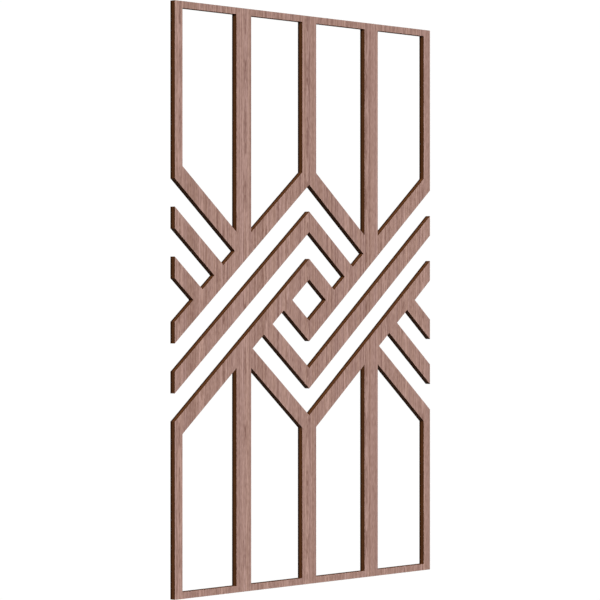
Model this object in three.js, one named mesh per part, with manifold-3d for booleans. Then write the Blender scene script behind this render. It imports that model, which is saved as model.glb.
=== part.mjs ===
// Fretwork screen panel: one sheet of wood pierced right through. Upright windows stand above and
// below a band of slanting slats, which cross the panel from edge to edge as a woven zigzag.
// Millimetres, +Z up. The show face looks to -Y and the back lies on Y = 0. The origin is on the
// back, half-way across the panel and half-way up the top rail, where the panel is fixed.

import * as THREE from "three";
import { mergeVertices } from "three/addons/utils/BufferGeometryUtils.js";
import Module from "manifold-3d";

// Driving dimensions
const panelWidth = 390.5;
const panelHeight = 593.7;
const panelThickness = 6.35;
const postWidth = 21.5; // upright between two windows
const railHeight = 6.9; // along the top and the bottom
const slatRise = 21.6; // a slat, measured upright
const gapRise = 27.9; // the slot between two slats, measured upright
const eyeRise = 21.5; // from mid-height to the tip of a diamond-shaped eye
const slatsInBand = 3; // parallel slats, one above the other
const repeats = 2; // times the pattern repeats across the panel

const cutterOverrun = 5; // how far a cutting tool passes each face of the sheet

const walnut = new THREE.MeshStandardMaterial({ color: 0xa58379, roughness: 0.6, metalness: 0 });

// Panels butt edge to edge, so a stile at the side is half a post, and the slats run out at the
// sides to meet those of the next panel. An eye sits on every peak line, at the start of a repeat.
// A post stands above and below each peak line, and another half-way to the next one.
const baysPerRepeat = 2;
const repeatWidth = panelWidth / repeats;
const bayWidth = repeatWidth / baysPerRepeat;
const slatPitch = slatRise + gapRise;
const bandTip = eyeRise + slatsInBand * slatPitch - gapRise; // half the band's height on a peak line
const bandRise = bandTip + eyeRise; // what a slat climbs over one repeat
const slope = bandRise / repeatWidth;

const peakLine = (index) => index * repeatWidth - panelWidth / 2;
const bayLine = (index) => index * bayWidth - panelWidth / 2;

// A window's outline: three square sides and, along the band, a slanting one. It is highest beside
// a peak line, which is a bay's left side and the next bay's right side in turn. side is 1 above
// the band and -1 below it.
function windowOutline(bay, side) {
  const left = bayLine(bay) + postWidth / 2;
  const right = bayLine(bay + 1) - postWidth / 2;
  const railEdge = panelHeight / 2 - railHeight;
  const besidePeak = bandTip - slope * (postWidth / 2);
  const besideValley = bandTip - slope * (bayWidth - postWidth / 2);
  const peakOnLeft = bay % baysPerRepeat === 0;
  const atLeft = peakOnLeft ? besidePeak : besideValley;
  const atRight = peakOnLeft ? besideValley : besidePeak;
  return [
    new THREE.Vector2(left, side * atLeft),
    new THREE.Vector2(right, side * atRight),
    new THREE.Vector2(right, side * railEdge),
    new THREE.Vector2(left, side * railEdge),
  ];
}

// The diamond between the innermost slats, centred on a peak line at mid-height.
function eyeOutline(index) {
  const x = peakLine(index);
  const halfWidth = eyeRise / slope;
  return [
    new THREE.Vector2(x - halfWidth, 0),
    new THREE.Vector2(x, -eyeRise),
    new THREE.Vector2(x + halfWidth, 0),
    new THREE.Vector2(x, eyeRise),
  ];
}

// The slot under a rising slat. It climbs one repeat from the peak line at index to the next one,
// and turns down at both ends into a short arm, which stops square against a rising slat. slat
// counts from the top of the band, and the far arm is the near one turned half round.
function slotOutline(index, slat) {
  const start = peakLine(index);
  const end = peakLine(index + 1);
  const upper = -eyeRise - slatRise - slat * slatPitch;
  const lower = upper - gapRise;
  const nearArmEnd = (rise) =>
    new THREE.Vector2(start + (rise - eyeRise) / (2 * slope), (rise + eyeRise) / 2);
  const farArmEnd = (rise) =>
    new THREE.Vector2(end + (rise + eyeRise) / (2 * slope), (rise - eyeRise) / 2);
  return [
    nearArmEnd(upper),
    nearArmEnd(lower),
    new THREE.Vector2(start, lower),
    new THREE.Vector2(end, lower + bandRise),
    farArmEnd(lower + bandRise),
    farArmEnd(upper + bandRise),
    new THREE.Vector2(end, upper + bandRise),
    new THREE.Vector2(start, upper),
  ];
}

// An outline in the panel's plane, given thickness: from back, on the Y axis, towards the show face.
function plate(outline, back, thickness) {
  const geometry = new THREE.ExtrudeGeometry(new THREE.Shape(outline), {
    depth: thickness,
    bevelEnabled: false,
  });
  geometry.rotateX(Math.PI / 2);
  geometry.translate(0, back, 0);
  return geometry;
}

const wasm = await Module();
wasm.setup();

function toSolid(geometry) {
  const bare = new THREE.BufferGeometry();
  bare.setAttribute("position", geometry.getAttribute("position"));
  const merged = mergeVertices(bare);
  return new wasm.Manifold(
    new wasm.Mesh({
      numProp: 3,
      vertProperties: merged.getAttribute("position").array,
      triVerts: new Uint32Array(merged.getIndex().array),
    }),
  );
}

function toGeometry(solid) {
  const { vertProperties, triVerts } = solid.getMesh();
  const shared = new THREE.BufferGeometry();
  shared.setAttribute("position", new THREE.BufferAttribute(vertProperties, 3));
  shared.setIndex(new THREE.BufferAttribute(triVerts, 1));
  const faceted = shared.toNonIndexed();
  faceted.computeVertexNormals();
  return faceted;
}

function openingOutlines() {
  const outlines = [];
  for (let bay = 0; bay < repeats * baysPerRepeat; bay++)
    outlines.push(windowOutline(bay, 1), windowOutline(bay, -1));
  for (let index = 0; index <= repeats; index++) outlines.push(eyeOutline(index));
  // One slot starts a repeat before the panel and one at its far side: only their arms reach it.
  for (let index = -1; index <= repeats; index++)
    for (let slat = 0; slat < slatsInBand - 1; slat++) outlines.push(slotOutline(index, slat));
  return outlines;
}

function makeScreen() {
  const halfWidth = panelWidth / 2;
  const halfHeight = panelHeight / 2;
  const sheetOutline = [
    new THREE.Vector2(-halfWidth, -halfHeight),
    new THREE.Vector2(halfWidth, -halfHeight),
    new THREE.Vector2(halfWidth, halfHeight),
    new THREE.Vector2(-halfWidth, halfHeight),
  ];
  const cutterDepth = panelThickness + 2 * cutterOverrun;
  let sheet = toSolid(plate(sheetOutline, 0, panelThickness));
  for (const outline of openingOutlines())
    sheet = sheet.subtract(toSolid(plate(outline, cutterOverrun, cutterDepth)));
  const screen = new THREE.Mesh(toGeometry(sheet), walnut);
  screen.name = "fretwork_screen";
  screen.position.z = railHeight / 2 - halfHeight;
  return screen;
}

const panel = new THREE.Group();
panel.add(makeScreen());

export default panel;
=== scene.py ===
"""Looks of the fretwork screen panel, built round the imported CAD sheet.

The sheet keeps its CAD outline. Here it gets eased arrises, upright walnut grain on both faces and
toasted wood on every cut edge.
"""

import math

import bmesh
import bpy
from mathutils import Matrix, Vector


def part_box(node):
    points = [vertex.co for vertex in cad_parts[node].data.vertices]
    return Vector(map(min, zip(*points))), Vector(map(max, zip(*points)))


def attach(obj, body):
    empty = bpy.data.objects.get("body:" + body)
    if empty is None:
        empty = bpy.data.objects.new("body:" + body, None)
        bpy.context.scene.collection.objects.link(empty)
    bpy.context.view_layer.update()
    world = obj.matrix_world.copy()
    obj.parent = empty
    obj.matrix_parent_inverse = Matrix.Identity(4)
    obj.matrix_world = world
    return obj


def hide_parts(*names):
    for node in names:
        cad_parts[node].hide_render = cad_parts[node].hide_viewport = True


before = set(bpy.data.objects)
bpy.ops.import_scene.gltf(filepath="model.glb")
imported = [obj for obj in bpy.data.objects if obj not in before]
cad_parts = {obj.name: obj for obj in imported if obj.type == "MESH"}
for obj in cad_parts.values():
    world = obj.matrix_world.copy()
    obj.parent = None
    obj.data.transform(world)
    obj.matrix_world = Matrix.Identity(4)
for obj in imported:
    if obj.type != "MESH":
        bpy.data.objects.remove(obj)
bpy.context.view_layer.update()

MM = 0.001
TAU = 2 * math.pi

SHEET = "fretwork_screen"
low_corner, high_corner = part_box(SHEET)
THICKNESS = high_corner.y - low_corner.y
LEVEL_TOLERANCE = 0.01 * MM
CORNER_DECIMALS = 3

# Arris: the small round between a face and a cut edge, and the strip of face beside it, which is made a
# little paler towards the arris
ARRIS_RADIUS = 0.1 * MM
ARRIS_STEPS = 3
PALE_STRIP = 1.3 * MM

# Camera: level, at the panel's mid-height. The panel's left front edge is placed by its depth in the
# view and by how far it is to the right of the view's axis, in metres
CAMERA_YAW = math.radians(46.83)
LEFT_EDGE_DEPTH = 2.512
LEFT_EDGE_OFF_AXIS = -0.1239
LENS_MM = 152.3
SENSOR_MM = 36

# Lights: where each comes from, its strength and its spread in degrees
KEY_LIGHT = ((-0.301, -0.867, 0.399), 1.029, 12)
BACK_LIGHT = ((0.45, 0.89, 0.02), 0.85, 20)
FILL_FROM_BELOW = 0.052
FILL_FROM_ABOVE = 0.196
# The backdrop, a touch over white so that no noise shows in it
BACKDROP = 1.02

# Colours, linear
FACE_DARK = (0.211, 0.107, 0.082)
FACE_MID = (0.357, 0.213, 0.175)
FACE_LIGHT = (0.495, 0.311, 0.264)
WARM_TINT = (1.008, 1.0, 0.97)
COOL_TINT = (0.995, 0.994, 1.014)
CUT_DARK = (0.107, 0.036, 0.011)
CUT_LIGHT = (0.243, 0.089, 0.030)
FLOOR_DARK = (0.86, 0.86, 0.85)
FLOOR_LIGHT = (0.90, 0.90, 0.89)
WHITE = (1.0, 1.0, 1.0)

# Noises: the size of their features along X, Y and Z in millimetres, detail, shift
NOISES = {
    "wander": ((60, 60, 240), 0.0, 3.1),
    "streaks": ((1.2, 4, 900), 0.0, 1.7),
    "bands": ((4.5, 9, 600), 0.0, 8.2),
    "flecks": ((1.1, 2, 4), 0.0, 31.6),
    "fibre": ((0.6, 1, 7), 1.0, 20.4),
    "dashes": ((6, 6, 9), 0.0, 12.4),
    "pores": ((0.32, 0.5, 4.5), 1.0, 2.6),
    "tint": ((3.2, 9, 240), 1.0, 14.2),
    # Hardly any change through the sheet, along Y, so these marks run nearly straight across a cut edge
    "cut_marks": ((0.7, 60, 0.7), 2.0, 4.4),
    "cut_patches": ((14, 14, 14), 2.0, 9.3),
    "floor_mottle": ((500, 500, 500), 3.0, 0.0),
}
NOISE_ROUGHNESS = 0.58
NOISE_MIDDLE = 0.5

# Grain: how far it wanders sideways, in millimetres, and how much each noise counts in its tone
WANDER = 0.5
WANDER_SPAN = (0.2, 0.8)
TONE_MIDDLE = 0.5
TONE_WEIGHTS = {"streaks": 1.1, "bands": 0.2, "flecks": 0.55, "fibre": 0.75}
PORE_SPAN = (0.61, 0.72)

# Flames: slim spindles that the flat cut opens, in upright columns, point to point, each with a light
# rim, a dark line round it and dark dashes along its heart. Sizes are in millimetres. The profile is the
# tone from the heart outwards, and the flame ends at FLAME_EDGE along it
FLAME_MIDDLE_X = -188.6
FLAME_MIDDLE_Z = -120.6
FLAME_SPACING_X = 30.95
FLAME_SPACING_Z = 123.2
FLAME_REACH = 52.6
FLAME_HALF_WIDTH = 4.9
FLAME_EDGE = 0.5
FLAME_PROFILE = [
    (0.0, 0.48),
    (0.2, 0.52),
    (0.36, 0.92),
    (0.47, 0.86),
    (0.54, 0.30),
    (0.59, 0.40),
    (0.65, 0.60),
    (0.73, 0.36),
    (0.83, 0.52),
    (1.0, 0.48),
]
FLAME_WEIGHT = 0.75
DASH_SPAN = (0.50, 0.58)
HEART_SPAN = (0.9, 0.3)
HEART_WEIGHT = -0.4

# Faces: colours by the grain's tone, and tints by a noise of their own
FACE_COLORS = [(0.0, FACE_DARK), (TONE_MIDDLE, FACE_MID), (1.0, FACE_LIGHT)]
FACE_TINTS = [(0.35, WARM_TINT), (0.65, COOL_TINT)]
FACE_PORES = -0.11
FACE_PALE_EDGE = 0.05
FACE_ROUGHNESS = (0.68, 0.56)
FACE_SPECULAR = 0.25
FACE_PORE_HEIGHT = -0.8
FACE_BUMP_MM = 0.05

# Cut edges, with the strips made darker along the back and the front, measured in millimetres from the back
# and from the front
CUT_TONE_WEIGHTS = {"grain": 0.3, "marks": 0.5, "patches": 0.4}
CUT_PORES = -0.12
DARKER_BACK_SPAN = (3.2, 1.2)
DARKER_BACK = -0.72
DARKER_FRONT_SPAN = (2.0, 0.8)
DARKER_FRONT = -0.3
CUT_MARK_SPAN = (0.3, 0.7)
CUT_ROUGHNESS = (0.72, 0.60)
CUT_SPECULAR = 0.04
CUT_FIBRE_HEIGHT = 0.4
CUT_BUMP_MM = 0.08

# Floor, in metres: how far it is below the origin, its radius and where its fade into white starts. The
# glow is how far it has faded already at its middle, from 0 to 1
FLOOR_DROP = 1.35
FLOOR_RADIUS = 3.8
FLOOR_FADE_FROM = 1.6
FLOOR_GLOW = 0.4
FLOOR_SIDES = 96
FLOOR_ROUGHNESS = 0.9


class Nodes:
    """Adds shader nodes to one tree and joins them up."""

    def __init__(self, tree):
        self.tree = tree
        tree.nodes.clear()

    def add(self, kind, inputs=None, **settings):
        node = self.tree.nodes.new("ShaderNode" + kind)
        for name, value in settings.items():
            setattr(node, name, value)
        for name, value in (inputs or {}).items():
            self.put(node.inputs[name], value)
        return node

    def put(self, socket, value):
        if isinstance(value, bpy.types.NodeSocket):
            self.tree.links.new(value, socket)
        else:
            socket.default_value = value

    def math(self, operation, first, second=0.0, third=0.0):
        return self.add("Math", {0: first, 1: second, 2: third}, operation=operation).outputs[0]

    def plus(self, base, value, weight, middle=0.0):
        """base plus weight times how far value is from middle."""
        return self.math("MULTIPLY_ADD", self.math("SUBTRACT", value, middle), weight, base)

    def noise(self, place, name):
        """The named noise, of about 0 to 1, at a place in millimetres."""
        size, detail, shift = NOISES[name]
        scaled = self.add(
            "VectorMath",
            {0: place, 1: tuple(1 / s for s in size), 2: (shift, shift, shift)},
            operation="MULTIPLY_ADD",
        )
        made = self.add(
            "TexNoise",
            {"Vector": scaled.outputs[0], "Scale": 1.0, "Detail": detail, "Roughness": NOISE_ROUGHNESS},
        )
        return made.outputs["Fac"]

    def span(self, value, low, high, to_low=0.0, to_high=1.0):
        """value carried smoothly from low..high to to_low..to_high, and held there beyond."""
        inputs = {"Value": value, "From Min": low, "From Max": high, "To Min": to_low, "To Max": to_high}
        return self.add("MapRange", inputs, interpolation_type="SMOOTHSTEP").outputs["Result"]

    def ramp(self, value, stops):
        node = self.add("ValToRGB", {"Fac": value})
        points = node.color_ramp.elements
        anywhere = 0.5
        while len(points) < len(stops):
            points.new(anywhere)
        for point, (position, color) in zip(points, stops):
            point.position = position
            point.color = (*color, 1.0)
        return node.outputs["Color"]

    def shade(self, color, amount):
        """color times a grey amount."""
        return self.add("VectorMath", {0: color, "Scale": amount}, operation="SCALE").outputs[0]


def new_material(name):
    material = bpy.data.materials.new(name)
    material.use_nodes = True
    nodes = Nodes(material.node_tree)
    surface = nodes.add("BsdfPrincipled")
    output = nodes.add("OutputMaterial", {"Surface": surface.outputs[0]})
    return material, nodes, surface, output


def place_mm(nodes):
    """Where a point of the object is, in millimetres of the CAD frame."""
    place = nodes.add("TexCoord").outputs["Object"]
    return nodes.add("VectorMath", {0: place, "Scale": 1 / MM}, operation="SCALE").outputs[0]


def flames(nodes, place):
    """The flames' tone, about 0 to 1, and their dark heart dashes."""
    spot = nodes.add("SeparateXYZ", {0: place}).outputs
    across = nodes.math("SUBTRACT", spot["X"], FLAME_MIDDLE_X)
    across = nodes.math("PINGPONG", across, FLAME_SPACING_X / 2)
    along = nodes.math("SUBTRACT", spot["Z"], FLAME_MIDDLE_Z)
    along = nodes.math("PINGPONG", along, FLAME_SPACING_Z / 2)
    # A flame's edge is a slim parabola on each side: breadth squared plus length is 1 there.
    breadth = nodes.math("DIVIDE", across, FLAME_HALF_WIDTH)
    length = nodes.math("DIVIDE", along, FLAME_REACH)
    outwards = nodes.math("MULTIPLY_ADD", breadth, breadth, length)
    outwards = nodes.math("MULTIPLY", outwards, FLAME_EDGE)
    tone = nodes.ramp(outwards, [(position, (level,) * 3) for position, level in FLAME_PROFILE])
    dashes = nodes.span(nodes.noise(place, "dashes"), *DASH_SPAN)
    return tone, nodes.math("MULTIPLY", dashes, nodes.span(across, *HEART_SPAN))


def grain(nodes, place):
    """The upright walnut grain, through the whole thickness: tone, pores and fibre, each about 0 to 1."""
    wander = nodes.span(nodes.noise(place, "wander"), *WANDER_SPAN, -WANDER, WANDER)
    sway = nodes.add("CombineXYZ", {"X": wander})
    bent = nodes.add("VectorMath", {0: place, 1: sway.outputs[0]}, operation="ADD").outputs[0]
    tone = TONE_MIDDLE
    layers = {}
    for name, weight in TONE_WEIGHTS.items():
        layers[name] = nodes.noise(bent, name)
        tone = nodes.plus(tone, layers[name], weight, NOISE_MIDDLE)
    flame, heart = flames(nodes, bent)
    tone = nodes.plus(tone, flame, FLAME_WEIGHT, TONE_MIDDLE)
    tone = nodes.plus(tone, heart, HEART_WEIGHT)
    pores = nodes.span(nodes.noise(bent, "pores"), *PORE_SPAN)
    return tone, pores, layers["fibre"]


def bumped(nodes, surface, height, distance_mm):
    bump = nodes.add("Bump", {"Height": height, "Strength": 1.0, "Distance": distance_mm * MM})
    nodes.put(surface.inputs["Normal"], bump.outputs[0])


def face_material():
    """Bare sanded walnut: pale, matt, with fine open pores, a little paler beside the arrises."""
    material, nodes, surface, _ = new_material("walnut_face")
    place = place_mm(nodes)
    tone, pores, fibre = grain(nodes, place)
    color = nodes.ramp(tone, FACE_COLORS)
    tint = nodes.ramp(nodes.noise(place, "tint"), FACE_TINTS)
    color = nodes.add("VectorMath", {0: color, 1: tint}, operation="MULTIPLY").outputs[0]
    pale_edge = nodes.add("Attribute", attribute_name="pale_edge").outputs["Fac"]
    brightness = nodes.plus(1.0, pores, FACE_PORES)
    # The face is made a little paler in the strip beside each arris
    brightness = nodes.plus(brightness, pale_edge, FACE_PALE_EDGE)
    nodes.put(surface.inputs["Base Color"], nodes.shade(color, brightness))
    nodes.put(surface.inputs["Roughness"], nodes.span(tone, 0.0, 1.0, *FACE_ROUGHNESS))
    surface.inputs["Specular IOR Level"].default_value = FACE_SPECULAR
    bumped(nodes, surface, nodes.plus(fibre, pores, FACE_PORE_HEIGHT), FACE_BUMP_MM)
    return material


def cut_material():
    """The cut edges: toasted brown with fine cutting marks, darker along the front and the back."""
    material, nodes, surface, _ = new_material("walnut_cut_edge")
    place = place_mm(nodes)
    tone, pores, fibre = grain(nodes, place)
    marks = nodes.noise(place, "cut_marks")
    patches = nodes.noise(place, "cut_patches")
    tone = nodes.plus(TONE_MIDDLE, tone, CUT_TONE_WEIGHTS["grain"], TONE_MIDDLE)
    tone = nodes.plus(tone, marks, CUT_TONE_WEIGHTS["marks"], NOISE_MIDDLE)
    tone = nodes.plus(tone, patches, CUT_TONE_WEIGHTS["patches"], NOISE_MIDDLE)
    color = nodes.ramp(tone, [(0.0, CUT_DARK), (1.0, CUT_LIGHT)])
    y = nodes.add("SeparateXYZ", {0: place}).outputs["Y"]
    from_back = nodes.math("SUBTRACT", high_corner.y / MM, y)
    from_front = nodes.math("SUBTRACT", y, low_corner.y / MM)
    brightness = nodes.plus(1.0, pores, CUT_PORES)
    # The cut edge is made darker towards the back and towards the front
    brightness = nodes.plus(brightness, nodes.span(from_back, *DARKER_BACK_SPAN), DARKER_BACK)
    brightness = nodes.plus(brightness, nodes.span(from_front, *DARKER_FRONT_SPAN), DARKER_FRONT)
    nodes.put(surface.inputs["Base Color"], nodes.shade(color, brightness))
    nodes.put(surface.inputs["Roughness"], nodes.span(marks, *CUT_MARK_SPAN, *CUT_ROUGHNESS))
    surface.inputs["Specular IOR Level"].default_value = CUT_SPECULAR
    bumped(nodes, surface, nodes.plus(marks, fibre, CUT_FIBRE_HEIGHT), CUT_BUMP_MM)
    return material


def face_outlines(mesh, level):
    """The closed outlines of the face that lies at level on Y, as (x, z) points with wood on their left."""
    corner = {}
    for vertex in mesh.vertices:
        if abs(vertex.co.y - level) < LEVEL_TOLERANCE:
            x, _, z = vertex.co / MM
            corner[vertex.index] = (round(x, CORNER_DECIMALS), round(z, CORNER_DECIMALS))
    sides = set()
    for polygon in mesh.polygons:
        points = [corner.get(v) for v in polygon.vertices]
        if None not in points:
            sides.update(zip(points, points[1:] + points[:1]))
    follows = {a: b for a, b in sides if (b, a) not in sides}
    outlines = []
    while follows:
        start = min(follows)
        outline = [start]
        point = follows.pop(start)
        while point != start:
            outline.append(point)
            point = follows.pop(point)
        outlines.append([Vector(p) * MM for p in outline])
    return outlines


def moved_in(outline, inset):
    """The outline moved into the wood by inset, with mitred corners."""
    moved = []
    for i, here in enumerate(outline):
        arriving = (here - outline[i - 1]).normalized()
        leaving = (outline[(i + 1) % len(outline)] - here).normalized()
        first = Vector((-arriving.y, arriving.x))
        second = Vector((-leaving.y, leaving.x))
        moved.append(here + (first + second) * (inset / (1 + first.dot(second))))
    return moved


def edge_profile():
    """From the front face over the cut edge to the back face: (inset, depth below the front, how far the
    face is made paler there, 0 to 1).
    """
    front = [(PALE_STRIP, 0.0, 0.0)]
    for step in range(ARRIS_STEPS + 1):
        angle = TAU / 4 * (1 - step / ARRIS_STEPS)
        inset = ARRIS_RADIUS * (1 - math.cos(angle))
        depth = ARRIS_RADIUS * (1 - math.sin(angle))
        front.append((inset, depth, 1.0))
    return front + [(inset, THICKNESS - depth, pale_edge) for inset, depth, pale_edge in reversed(front)]


def make_sheet():
    """The panel as one mesh: the CAD outline with eased arrises."""
    outlines = face_outlines(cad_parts[SHEET].data, low_corner.y)
    profile = edge_profile()
    face_index, cut_index = 0, 1
    bm = bmesh.new()
    pale_edge_layer = bm.verts.layers.float.new("pale_edge")
    front_rim = []
    back_rim = []
    for outline in outlines:
        rings = []
        for inset, depth, pale_edge in profile:
            ring = [bm.verts.new((p.x, low_corner.y + depth, p.y)) for p in moved_in(outline, inset)]
            for vertex in ring:
                vertex[pale_edge_layer] = pale_edge
            rings.append(ring)
        last_band = len(rings) - 2
        for band, (near, far) in enumerate(zip(rings, rings[1:])):
            on_face = band in (0, last_band)
            for i in range(len(near)):
                j = (i + 1) % len(near)
                quad = bm.faces.new((near[i], near[j], far[j], far[i]))
                quad.material_index = face_index if on_face else cut_index
        for rim, ring in ((front_rim, rings[0]), (back_rim, rings[-1])):
            rim.extend(bm.edges.get((ring[i - 1], ring[i])) for i in range(len(ring)))
    for rim, normal in ((front_rim, (0, -1, 0)), (back_rim, (0, 1, 0))):
        bmesh.ops.triangle_fill(bm, edges=rim, use_beauty=True, use_dissolve=False, normal=normal)
    bmesh.ops.recalc_face_normals(bm, faces=bm.faces)
    mesh = bpy.data.meshes.new("walnut_fretwork")
    bm.to_mesh(mesh)
    bm.free()
    mesh.materials.append(face_material())
    mesh.materials.append(cut_material())
    sheet = bpy.data.objects.new("walnut_fretwork", mesh)
    bpy.context.scene.collection.objects.link(sheet)
    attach(sheet, "root")
    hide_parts(SHEET)


def make_camera():
    ahead = Vector((math.sin(CAMERA_YAW), math.cos(CAMERA_YAW), 0))
    right = Vector((ahead.y, -ahead.x, 0))
    left_edge = Vector((low_corner.x, low_corner.y, (low_corner.z + high_corner.z) / 2))
    data = bpy.data.cameras.new("camera")
    data.sensor_width = SENSOR_MM
    data.lens = LENS_MM
    camera = bpy.data.objects.new("camera", data)
    camera.location = left_edge - ahead * LEFT_EDGE_DEPTH - right * LEFT_EDGE_OFF_AXIS
    camera.rotation_euler = (TAU / 4, 0, -CAMERA_YAW)
    bpy.context.scene.collection.objects.link(camera)
    bpy.context.scene.camera = camera


def make_sun(name, direction, strength, spread):
    """A far soft light. A face turned straight to it is lit strength times as bright as its colour."""
    data = bpy.data.lights.new(name, "SUN")
    data.energy = math.pi * strength
    data.angle = math.radians(spread)
    sun = bpy.data.objects.new(name, data)
    sun.rotation_euler = Vector(direction).to_track_quat("Z", "Y").to_euler()
    bpy.context.scene.collection.objects.link(sun)
    return sun


def make_studio():
    """White all round for the camera, a dim fill, a key light from the upper left and one from behind."""
    world = bpy.data.worlds.new("studio")
    world.use_nodes = True
    nodes = Nodes(world.node_tree)
    direction = nodes.add("TexCoord").outputs["Generated"]
    up = nodes.add("SeparateXYZ", {0: direction}).outputs["Z"]
    dim = nodes.span(up, -1.0, 1.0, FILL_FROM_BELOW, FILL_FROM_ABOVE)
    fill = nodes.add("Background", {"Color": (*WHITE, 1.0), "Strength": dim})
    backdrop = nodes.add("Background", {"Color": (*WHITE, 1.0), "Strength": BACKDROP})
    seen = nodes.add("LightPath").outputs["Is Camera Ray"]
    either = nodes.add("MixShader", {0: seen, 1: fill.outputs[0], 2: backdrop.outputs[0]})
    nodes.add("OutputWorld", {"Surface": either.outputs[0]})
    bpy.context.scene.world = world
    make_sun("key", *KEY_LIGHT)
    back_light = make_sun("back_light", *BACK_LIGHT)
    # It lights the back without a gleam along the cut edges that the camera sees at a low angle.
    back_light.visible_glossy = False
    bpy.context.scene.view_settings.view_transform = "Standard"


def floor_material():
    """Pale and matt, with a faint glow that grows at its rim into the white all round."""
    material, nodes, surface, output = new_material("pale_floor")
    place = place_mm(nodes)
    mottle = nodes.noise(place, "floor_mottle")
    nodes.put(surface.inputs["Base Color"], nodes.ramp(mottle, [(0.0, FLOOR_DARK), (1.0, FLOOR_LIGHT)]))
    surface.inputs["Roughness"].default_value = FLOOR_ROUGHNESS
    rim = nodes.add("Emission", {"Color": (*WHITE, 1.0), "Strength": BACKDROP})
    reach = nodes.add("VectorMath", {0: place}, operation="LENGTH").outputs["Value"]
    share = nodes.span(reach, FLOOR_FADE_FROM / MM, FLOOR_RADIUS / MM, FLOOR_GLOW)
    faded = nodes.add("MixShader", {0: share, 1: surface.outputs[0], 2: rim.outputs[0]})
    nodes.put(output.inputs["Surface"], faded.outputs[0])
    return material


def make_floor():
    mesh = bpy.data.meshes.new("floor")
    corners = []
    for side in range(FLOOR_SIDES):
        angle = TAU * side / FLOOR_SIDES
        corners.append((FLOOR_RADIUS * math.cos(angle), FLOOR_RADIUS * math.sin(angle), 0))
    mesh.from_pydata(corners, [], [tuple(range(FLOOR_SIDES))])
    mesh.materials.append(floor_material())
    floor = bpy.data.objects.new("floor", mesh)
    floor.location.z = -FLOOR_DROP
    # It shows, but sends no light back up: the undersides of the cuts stay dark.
    floor.visible_diffuse = False
    bpy.context.scene.collection.objects.link(floor)


make_camera()
make_sheet()
make_studio()
make_floor()
